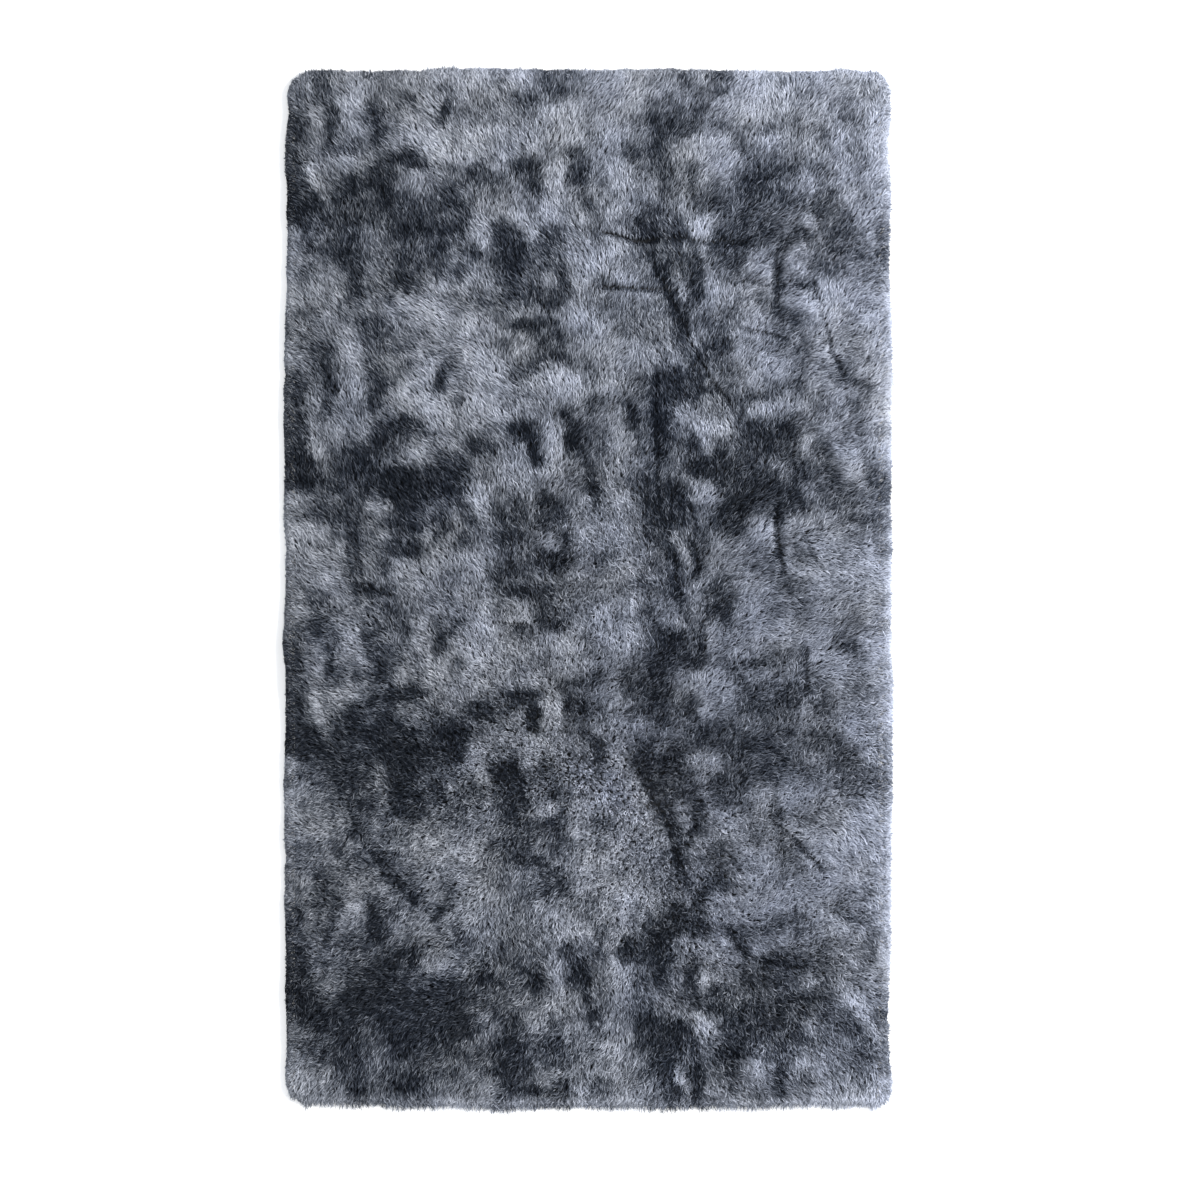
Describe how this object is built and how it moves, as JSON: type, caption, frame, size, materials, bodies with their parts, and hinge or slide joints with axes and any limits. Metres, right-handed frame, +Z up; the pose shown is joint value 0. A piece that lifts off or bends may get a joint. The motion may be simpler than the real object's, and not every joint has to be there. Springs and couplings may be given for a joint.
{
  "type": "shag rug",
  "caption": "Rectangular shag rug with long soft pile and rounded corners, lying flat on a floor, mottled blue-grey.",
  "frame": {"origin": "on the floor, under the middle of the rug's box", "axes": "+Z up out of the pile, +Y along the rug, +X across it"},
  "size_m": [1.2376, 2.14, 0.0421],
  "materials": {
    "pile": "long soft synthetic pile, dyed in pale and dark blue-grey patches",
    "base_cloth": "plain woven base cloth, dark grey"
  },
  "bodies": {
    "root": {"shag_pile": "pile"}
  },
  "joints": []
}
